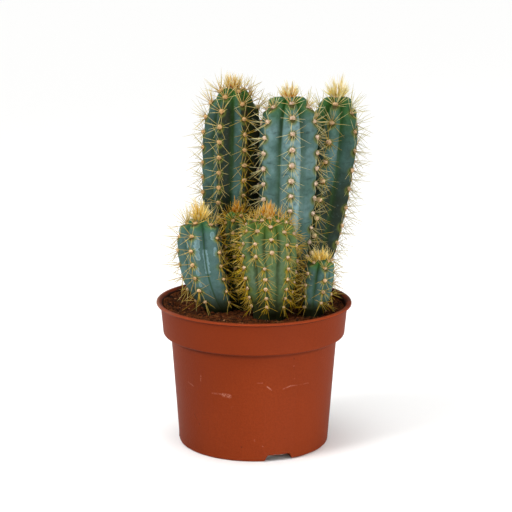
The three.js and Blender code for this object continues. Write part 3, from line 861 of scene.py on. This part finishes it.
def crown_frames(stem):
    """The young areoles crowded round the growing tip, in a spiral."""
    reach = CROWN_RADIUS * stem.radius / FULL_RADIUS + CROWN_MARGIN
    found = []
    for k in range(CROWN_AREOLES):
        share = sqrt((k + 0.5) / CROWN_AREOLES)
        turn = k * GOLDEN_TURN
        flat = np.array([cos(turn), sin(turn), 0])
        lean = radians(lerp(CROWN_STRAIGHTEST, stem.crown[1], share))
        normal = flat * sin(lean) + np.array([0, 0, cos(lean)])
        point = np.array([*stem.tip, stem.height - CROWN_SINK - CROWN_FALL * share]) + flat * reach * share
        across = np.array([-flat[1], flat[0], 0])
        up = np.cross(normal, across)
        found.append(SimpleNamespace(point=point, up=up, across=across, normal=normal, share=share))
    return found


def make_wool(stem, frames, crown, material, draw):
    """A felted pad on each areole: a low dome of rings, its points jittered."""
    amber_share, dull = stem.wool
    points, old, amber, under = [], [], [], []
    count = PAD_RINGS * PAD_SIDES
    for number, areole in enumerate(frames + crown):
        young = number >= len(frames)
        size = stem.pad * draw.uniform(*PAD_SIZES)
        size *= YOUNG_PAD if young else lerp(1.0, OLD_PAD, areole.low)
        normal = unit(areole.normal + PAD_TILT * np.array([0, 0, 1]))
        up = unit(np.cross(normal, areole.across))
        centre = areole.point + PAD_LIFT * size * normal
        for ring in range(PAD_RINGS):
            angle = pi * PAD_WRAP * (1 - ring / (PAD_RINGS - 1))
            for k in range(PAD_SIDES):
                turn = 2 * pi * k / PAD_SIDES
                shift = 1 + draw.uniform(*PAD_JITTER) * (ring < PAD_RINGS - 1)
                flat = areole.across * cos(turn) + up * PAD_TALLNESS * sin(turn)
                out = flat * sin(angle) + normal * PAD_RISE * cos(angle)
                points.append(centre + out * size * shift)
                # How much painted shade this point of the pad takes, most on its underside
                under.append(max(0, -sin(turn)) * sin(angle))
        old += [0.0 if young else max(dull, PAD_AGEING * smoothstep(areole.low, 0.7, 1.0))] * count
        amber += [amber_share] * count
    faces = copies(capped_faces(PAD_RINGS, PAD_SIDES), len(frames + crown), count)
    return build_mesh(stem.name + "_wool", points, faces, material, old=old, amber=amber, under=under)


def free_length(stem, root, direction, length):
    """How much of a spine is clear of the other stems, the soil and the pot's wall."""
    for share in np.linspace(*SPINE_PROBES):
        p = root + direction * length * share
        in_soil = p[2] < soil_top(p[0], p[1]) + POT_CLEARANCE
        by_wall = hypot(p[0], p[1]) > SOIL_RADIUS - POT_CLEARANCE
        if in_soil or (by_wall and p[2] < POT_HEIGHT + POT_CLEARANCE):
            return length * (share - CUT_AT_POT)
        for other in STEMS:
            if other is stem or p[2] > other.height:
                continue
            if dist(p[:2], stem_centre(other, p[2])) < crest_radius(other, p[2]) + SPINE_CLEARANCE:
                return length * (share - CUT_AT_STEM)
    return length


def grow_spines(stem, frames, crown, draw):
    """Every spine of a stem, as root, direction, length, thickness, bend, tone, warmth and core."""
    spines = []
    tall, _, tuft, crowded = stem.crown

    def grow(root, direction, length, gold, warm, thickness):
        tip = root + direction * length
        ground = soil_top(tip[0], tip[1]) + SPINE_OVER_SOIL
        if tip[2] < ground < root[2]:
            direction = unit(np.array([*(direction * length)[:2], ground - root[2]]))
        kept = free_length(stem, root, direction, length)
        for axis, limit in enumerate(SPINE_REACH):
            if direction[axis] > 0:
                kept = min(kept, (limit - root[axis]) / direction[axis])
        if kept < SHORTEST_SPINE * length:
            return
        bend = np.array([draw.uniform(-1, 1) for _ in range(3)]) * SPINE_BEND * kept
        tone = clamp(gold + LOW_GOLD * way_down(stem, root[2]) + draw.uniform(-TONE_SPREAD, TONE_SPREAD))
        spines.append((root, direction, kept, thickness, bend, tone, warm, tuft))

    for areole in frames:
        fresh = 1 - smoothstep(areole.low, 0.02, FRESH_SHARE)
        droop = lerp(LOW_DROOP * areole.low + stem.droop, FRESH_DROOP, fresh)
        radial, central, young = stem.each
        inner = areole.inner * (1 - fresh)
        crowding = lerp(1, INNER_CROWDING, inner) * lerp(1, LOW_CROWDING, smoothstep(areole.low, 0.6, 0.95))
        count = round(radial * crowding + young * fresh)
        # Spines facing into the clump take the inner gold: partly their colour, partly painted shade
        gold = lerp(*stem.gold, inner)
        warm = FRESH_WARMTH * fresh
        turn = draw.uniform(0, 360)
        for k in range(count):
            angle = radians(turn + 360 * (k + draw.uniform(-0.35, 0.35)) / count)
            elevation = radians(draw.uniform(*RADIAL_RISE) + FRESH_RISE * fresh)
            flat = unit(areole.across * cos(angle) * RADIAL_WIDTH + areole.up * sin(angle))
            drift = unit(flat - areole.up * sin(radians(droop)) * 0.9)
            direction = unit(drift * cos(elevation) + areole.normal * sin(elevation))
            root = areole.point + flat * stem.pad * RADIAL_ROOT
            length = draw.uniform(*stem.spine) * lerp(1.0, FRESH_LENGTH, fresh)
            grow(root, direction, length, gold, warm, lerp(1.0, FRESH_THICKNESS, fresh))
        for _ in range(central):
            lean = radians(draw.uniform(*CENTRAL_LEAN))
            angle = radians(draw.uniform(0, 360))
            pull = 0.35 * areole.low + 0.01 * stem.droop - 0.9 * fresh
            flat = areole.across * cos(angle) + areole.up * (sin(angle) - pull)
            direction = unit(areole.normal * cos(lean) + unit(flat) * sin(lean))
            length = draw.uniform(*stem.spine) * CENTRAL_LENGTH
            grow(areole.point, direction, length, gold, warm, CENTRAL_THICKNESS)
    for areole in crown:
        tallness = draw.uniform(*CROWN_TALLNESS)
        for _ in range(round(crowded * lerp(*CROWN_SPINES_EACH, areole.share))):
            turn = draw.uniform(0, 2 * pi)
            spread = tan(radians(abs(draw.gauss(0, CROWN_SPREAD))))
            side = areole.across * cos(turn) + areole.up * sin(turn)
            direction = unit(areole.normal + side * spread)
            length = tall * lerp(*CROWN_LENGTH, areole.share) * tallness * draw.uniform(*CROWN_CUT)
            gold = stem.gold[0] + CROWN_GOLD * (1 - areole.share)
            grow(areole.point, direction, length, gold, 1.0, lerp(*CROWN_THICKNESS, crowded))
    return spines


def make_spines(name, spines, material):
    """One mesh of slender tapered spines, each a little bent."""
    columns = (np.array(column) for column in zip(*spines))
    root, direction, length, thickness, bend, tone, warm, core = columns
    side = unit(np.cross(direction, ANY_SLANT))
    across = np.cross(direction, side)
    rings, along = [], []
    for share, width in SPINE_STATIONS:
        sunk = SPINE_SINK if share == 0 else 0
        middle = root + direction * (length * share - sunk)[:, None] + bend * share * (1 - share)
        for k in range(SPINE_SIDES):
            turn = 2 * pi * k / SPINE_SIDES
            offset = side * cos(turn) + across * sin(turn)
            rings.append(middle + offset * (SPINE_RADIUS * thickness * width)[:, None])
            along.append(share)
    rings.append(root + direction * length[:, None])
    along.append(1.0)
    count, stride = len(spines), len(rings)
    body = capped_faces(len(SPINE_STATIONS), SPINE_SIDES)[:-1]
    last = stride - 1 - SPINE_SIDES
    body += [(last + k, last + (k + 1) % SPINE_SIDES, stride - 1) for k in range(SPINE_SIDES)]
    tone, warm, core = (np.repeat(values, stride) for values in (tone, warm, core))
    points = np.stack(rings, axis=1)
    along = np.tile(along, count)
    faces = copies(body, count, stride)
    return build_mesh(name, points, faces, material, tone=tone, warm=warm, core=core, along=along)


def soil_top(x, y):
    """The peat's level without its lumps: it climbs towards the rim, most at the front left."""
    radius = np.hypot(x, y)
    turn = radians(SOIL_HIGH_SIDE)
    side = (x * sin(turn) - y * cos(turn)) / np.maximum(radius, 1)
    rise = lerp(*SOIL_EDGE_RISE, (1 + side) / 2)
    return SOIL_LEVEL - SOIL_DIP + rise * smoothstep(radius, SOIL_RADIUS - SOIL_EDGE_WIDTH, SOIL_RADIUS)


def soil_height(x, y):
    """The peat's surface: low lumps, with a well round each stem's foot."""
    rise = 0.0
    for scale, size in SOIL_LUMPS:
        rise = rise + size * np.sin(scale * 7.1 * x + 3 * scale * 17) * np.cos(scale * 6.3 * y - scale * 29)
        rise = rise + size * 0.6 * np.sin(scale * 5.3 * (x + y) + scale * 41)
    height = soil_top(x, y) + SOIL_ROUGHNESS * rise
    for stem in STEMS:
        edge = np.hypot(x - stem.foot[0], y - stem.foot[1]) - stem.foot_radius
        well = 1 - smoothstep(edge, *WELL_EDGE)
        height = lerp(height, SOIL_LEVEL - FOOT_DEPTH - HOLE_GAP, well)
    return height


def make_soil(material):
    rings = round(SOIL_RADIUS / SOIL_STEP)
    radii = np.linspace(SOIL_RADIUS, 0.4, rings)
    turns = np.linspace(0, 2 * pi, SOIL_SIDES, endpoint=False)
    x = radii[:, None] * np.sin(turns)
    y = -radii[:, None] * np.cos(turns)
    top = np.stack([x, y, soil_height(x, y)], axis=-1).reshape(-1, 3)
    collar = COLLAR_FOOT_HEIGHT + WALL + HOLE_GAP
    rims = (1, inner_radius(collar) - SOIL_GAP)
    bottom = [(r * sin(t), -r * cos(t), collar) for r in rims for t in turns]
    points = np.concatenate([np.array(bottom), top])
    return build_mesh("peat_surface", points, capped_faces(rings + 2, SOIL_SIDES), material)


def soil_spot(draw):
    """A place on the soil that no stem stands on."""
    while True:
        radius = (SOIL_RADIUS - 0.8) * sqrt(draw.random())
        turn = draw.uniform(0, 2 * pi)
        x, y = radius * cos(turn), radius * sin(turn)
        if all(dist((x, y), stem.foot) > stem.foot_radius + FOOT_MARGIN for stem in STEMS):
            return x, y


def make_grains(material, draw):
    """Crumbs of peat: lumpy eight-pointed solids half sunk in the surface."""
    shape = np.array([
        (1, 0, 0), (0.6, 0.75, 0.1), (-0.2, 1, 0), (-1, 0.2, 0.1), (-0.6, -0.8, 0), (0.4, -0.9, 0.1),
        (0.1, 0, 0.8), (0, 0.1, -0.7),
    ])
    sides = [(k, (k + 1) % 6, 6) for k in range(6)] + [((k + 1) % 6, k, 7) for k in range(6)]
    points, tone = [], []
    for _ in range(GRAINS):
        x, y = soil_spot(draw)
        size = GRAIN_SIZE + GRAIN_GROWTH * draw.random() ** 3
        turn = draw.uniform(0, 2 * pi)
        cosine, sine = cos(turn), sin(turn)
        base = np.array([x, y, float(soil_height(x, y)) + GRAIN_LIFT * size])
        shade = draw.random()
        for corner in shape:
            cx, cy, cz = corner * np.array([draw.uniform(*GRAIN_STRETCH) for _ in range(3)]) * size
            points.append(base + np.array([cx * cosine - cy * sine, cx * sine + cy * cosine, cz]))
            tone.append(shade)
    faces = copies(sides, GRAINS, len(shape))
    return build_mesh("peat_grains", points, faces, material, smooth=False, tone=tone)


def make_fibres(material, draw):
    """Root fibres and straws lying on the peat."""
    points, tone = [], []
    for _ in range(FIBRES):
        x, y = soil_spot(draw)
        turn = draw.uniform(0, 2 * pi)
        stride = draw.uniform(*FIBRE_LENGTH) / (FIBRE_STEPS - 1)
        curl = draw.uniform(-FIBRE_CURL, FIBRE_CURL)
        width = draw.uniform(*FIBRE_WIDTH)
        shade = draw.random()
        for step in range(FIBRE_STEPS):
            side = np.array([-sin(turn), cos(turn), 0])
            rise = FIBRE_LIFT + FIBRE_ARCH * sin(pi * step / (FIBRE_STEPS - 1))
            ground = max(float(soil_height(x, y)), SOIL_LEVEL - 1)
            middle = np.array([x, y, ground + rise])
            taper = width * (1 - FIBRE_TAPER * step / (FIBRE_STEPS - 1))
            for k in range(FIBRE_SIDES):
                angle = 2 * pi * k / FIBRE_SIDES
                upward = np.array([0, 0, taper * sin(angle)])
                points.append(middle + side * taper * cos(angle) + upward)
                tone.append(shade)
            forward = 1 if hypot(x, y) < SOIL_RADIUS - stride - 0.6 else 0.05
            x += cos(turn) * stride * forward
            y += sin(turn) * stride * forward
            turn += curl
    faces = copies(capped_faces(FIBRE_STEPS, FIBRE_SIDES), FIBRES, FIBRE_STEPS * FIBRE_SIDES)
    return build_mesh("peat_fibres", points, faces, material, tone=tone)


def inner_radius(z):
    if z >= COLLAR_FOOT_HEIGHT:
        t = (z - COLLAR_FOOT_HEIGHT) / (LIP_FOOT - COLLAR_FOOT_HEIGHT)
        return lerp(COLLAR_FOOT_RADIUS, COLLAR_TOP_RADIUS, t) - WALL
    return wall_radius(z) - WALL


def wall_radius(z):
    """The outside of the pot's body, below its collar."""
    return lerp(BASE_RADIUS, BODY_TOP_RADIUS, z / BODY_TOP_HEIGHT)


def rounded(previous, corner, following, radius):
    """The arc that rounds a profile's corner, as points from one side to the other."""
    a, b, c = (np.array(p, dtype=float) for p in (previous, corner, following))
    to_a, to_c = unit(a - b), unit(c - b)
    half = acos(float(clamp(np.dot(to_a, to_c), -1, 1))) / 2
    start, end = b + to_a * radius / tan(half), b + to_c * radius / tan(half)
    centre = b + unit(to_a + to_c) * radius / sin(half)
    shares = (k / CORNER_STEPS for k in range(CORNER_STEPS + 1))
    return [tuple(centre + unit(lerp(start, end, share) - centre) * radius) for share in shares]


def pot_profile():
    """The pot's section, round the outside from under the floor to the top of the floor."""
    corners = [
        ((BASE_RADIUS, 0), 1.6),
        ((BODY_TOP_RADIUS, BODY_TOP_HEIGHT), 0.5),
        ((COLLAR_FOOT_RADIUS, COLLAR_FOOT_HEIGHT - 0.5), 1.6),
        ((COLLAR_TOP_RADIUS, LIP_FOOT), 0.3),
        ((RIM_RADIUS, LIP_FOOT), 0.6),
        ((RIM_RADIUS, POT_HEIGHT), 0.7),
        ((COLLAR_TOP_RADIUS - WALL + LIP_INNER_SLOPE, POT_HEIGHT), 0.5),
        ((COLLAR_TOP_RADIUS - WALL, POT_HEIGHT - LIP_INNER_SLOPE), 0.5),
        ((inner_radius(COLLAR_FOOT_HEIGHT + WALL), COLLAR_FOOT_HEIGHT + WALL), 1.0),
        ((inner_radius(BODY_TOP_HEIGHT), BODY_TOP_HEIGHT + WALL), 0.5),
        ((inner_radius(FLOOR), FLOOR), 1.5),
    ]
    path = [(0, 0)] + [corner for corner, _ in corners] + [(0, FLOOR)]
    profile = [(0.01, 0)]
    for k, (corner, radius) in enumerate(corners):
        profile += rounded(path[k], corner, path[k + 2], radius)
    profile.append((0.01, FLOOR))
    return profile


def prism(name, outline, low, high, azimuth, top=None):
    """A prism over an outline of (outward, sideways) points at an azimuth; top is its upper outline."""
    out = around(azimuth, 1, 0)
    side = np.array([-out[1], out[0], 0])
    rings = ((low, outline), (high, top or outline))
    points = [out * a + side * b + np.array([0, 0, z]) for z, ring in rings for a, b in ring]
    return build_mesh(name, points, capped_faces(2, len(outline)), None)


def cut(obj, tool, operation="DIFFERENCE"):
    modifier = obj.modifiers.new("cut", "BOOLEAN")
    modifier.operation = operation
    modifier.solver = "EXACT"
    modifier.object = tool
    apply_modifiers(obj)
    bpy.data.objects.remove(tool)


def strip(near, far, width):
    """A rectangle's corners, from near to far."""
    return [(near, -width / 2), (far, -width / 2), (far, width / 2), (near, width / 2)]


def make_pot(material):
    profile = pot_profile()
    turns = np.linspace(0, 2 * pi, POT_SIDES, endpoint=False)
    points = [(r * sin(t), -r * cos(t), z) for r, z in profile for t in turns]
    pot = build_mesh("nursery_pot", points, capped_faces(len(profile), POT_SIDES), material)
    for azimuth in CHANNEL_AZIMUTHS:
        near, wide = CHANNEL_INNER_RADIUS, BASE_RADIUS + CUT_MARGIN
        wall_foot = inner_radius(0) + WALL / 2
        cover = strip(near - WALL, wall_foot, CHANNEL_WIDTH + 2 * WALL)
        cut(pot, prism("cover", cover, FLOOR / 2, CHANNEL_HEIGHT + WALL, azimuth), "UNION")
        low, high = CHANNEL_MOUTH
        flare = (low - high) / CHANNEL_HEIGHT
        foot, top = strip(near, wide, low + flare), strip(near, wide, high)
        cut(pot, prism("channel", foot, -CUT_DEPTH, CHANNEL_HEIGHT, azimuth, top))
        drain = [
            (DRAIN_CENTRE_RADIUS + DRAIN_RADIUS * cos(t), DRAIN_RADIUS * sin(t))
            for t in np.linspace(0, 2 * pi, DRAIN_SIDES, endpoint=False)
        ]
        drain_top = CHANNEL_HEIGHT + 2 * WALL
        cut(pot, prism("drain", drain, CHANNEL_HEIGHT - CUT_DEPTH, drain_top, azimuth))
    place = np.zeros(len(pot.data.vertices) * 3)
    pot.data.vertices.foreach_get("co", place)
    place = place.reshape(-1, 3) / MM
    sideways, back, height = place.T
    radius = np.hypot(sideways, back)
    middle = np.array([inner_radius(z) for z in height]) + WALL / 2
    middle[height > LIP_FOOT + 0.05] = COLLAR_TOP_RADIUS + LIP_INSIDE
    inside = (radius < middle) & (height > FLOOR - 0.1)
    lip = height > POT_HEIGHT - LIP_SKIN
    behind = smoothstep(back / RIM_RADIUS, *LIP_DUST_FROM)
    turn = np.degrees(np.arctan2(sideways, -back))
    # A pale patch on the lip's outer edge at the left: dust and a painted sheen
    lip_dust_and_sheen = (radius > RIM_RADIUS - LIP_EDGE) * np.exp(-((turn - LIP_DUST_AND_SHEEN[0]) / LIP_DUST_AND_SHEEN[1]) ** 2)
    add_attributes(pot.data, dict(inside=inside & ~lip, lip=lip * behind, lip_dust_and_sheen=lip_dust_and_sheen))
    pot.data.set_sharp_from_angle(angle=radians(SHARP_ANGLE))
    return pot


def finish_piece(obj, slot, *nodes):
    """The piece rides on the one body and stands for its nodes; its slot is not used."""
    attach(obj, BODY)
    if nodes:
        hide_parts(*nodes)


def wax_marks(stem):
    """The two ends of each wax mark on the stem's skin and its half width, in metres."""
    heights = areole_heights(stem)
    found = []
    for rib, share, first, last, half_width in stem.marks:
        ends = [np.interp(k, range(len(heights[rib])), heights[rib]) for k in (first, last)]
        found.append([skin(stem, heights, np.array(z), rib, share) * MM for z in ends] + [half_width * MM])
    return found


WAXY_STEM = next(stem for stem in STEMS if stem.flesh == "waxy")
FLESH = dict(
    blue=flesh_material(
        "flesh_blue", bare=(26, 38, 27), body=(62, 91, 84), wax=(121, 150, 153),
        tip=(46, 86, 32), olive=(84, 92, 32), crease_tint_and_shade=(36, 62, 18),
    ),
    waxy=flesh_material(
        "flesh_waxy", bare=(34, 62, 26), body=(68, 95, 92), wax=(99, 131, 132),
        tip=(44, 88, 52), olive=(90, 106, 56), crease_tint_and_shade=(30, 62, 24), crease_from=0.86,
        marks=wax_marks(WAXY_STEM),
    ),
    green=flesh_material(
        "flesh_green", bare=(30, 34, 8), body=(77, 98, 61), wax=(104, 125, 110),
        tip=(66, 92, 28), olive=(92, 100, 32), crease_tint_and_shade=(30, 40, 8),
    ),
)
FLESH_SLOT = dict(blue="flesh_blue", waxy="flesh_blue", green="flesh_green")


def make_stem(stem, order, spine_look, wool_look):
    draw = random.Random(order + 11)
    heights = areole_heights(stem)
    frames = areole_frames(stem, heights)
    crown = crown_frames(stem)
    flesh = make_flesh(stem, heights, FLESH[stem.flesh], draw)
    finish_piece(flesh, FLESH_SLOT[stem.flesh], stem.name)
    finish_piece(make_wool(stem, frames, crown, wool_look, draw), "wool")
    spines = grow_spines(stem, frames, crown, draw)
    finish_piece(make_spines(stem.name + "_spines", spines, spine_look), "spine")


spine_look = spine_material()
wool_look = wool_material()
for order, stem in enumerate(STEMS):
    make_stem(stem, order, spine_look, wool_look)

finish_piece(make_soil(soil_material()), "soil", "soil")
finish_piece(make_grains(grain_material(), random.Random(5)), "soil")
finish_piece(make_fibres(fibre_material(), random.Random(6)), "soil")
finish_piece(make_pot(pot_material()), "pot", "pot")


def aim(obj, target):
    """Turns a lamp at obj's place towards the target."""
    towards = np.array(target) - np.array(obj.location)
    pitch = atan2(towards[2], hypot(towards[0], towards[1]))
    obj.rotation_euler = (pi / 2 + pitch, 0, atan2(-towards[0], towards[1]))


def add_lamp(name, kind, place, power):
    lamp = bpy.data.lights.new(name, kind)
    lamp.energy = power
    obj = add_object(name, lamp)
    obj.location = place
    return obj


def make_stage():
    """A pale floor, an even sky, a broad overhead light and two soft boxes."""
    corner = FLOOR_SIZE / 2 / MM
    points = [(-corner, -corner, 0), (corner, -corner, 0), (corner, corner, 0), (-corner, corner, 0)]
    build_mesh("floor", points, [(0, 1, 2, 3)], floor_material())
    world = bpy.data.worlds.new("sky")
    world.use_nodes = True
    background = world.node_tree.nodes["Background"]
    background.inputs["Color"].default_value = (1, 1, 1, 1)
    background.inputs["Strength"].default_value = SKY
    bpy.context.scene.world = world
    overhead = add_lamp("overhead", "SUN", (0, 0, 3), OVERHEAD)
    overhead.data.angle = radians(OVERHEAD_ANGLE)
    for name, place, target, size, power, spread in LAMPS:
        box = add_lamp(name, "AREA", place, power)
        box.data.size = size
        box.data.spread = radians(spread)
        aim(box, target)


def make_camera():
    data = bpy.data.cameras.new("camera")
    data.sensor_width = SENSOR
    data.lens = CAMERA_LENS
    camera = add_object("camera", data)
    camera.location = CAMERA_PLACE
    camera.rotation_mode = "ZYX"
    camera.rotation_euler = (radians(90 - CAMERA_PITCH_DOWN), 0, radians(CAMERA_ROLL))
    bpy.context.scene.camera = camera


make_stage()
make_camera()
bpy.context.scene.view_settings.view_transform = "Standard"
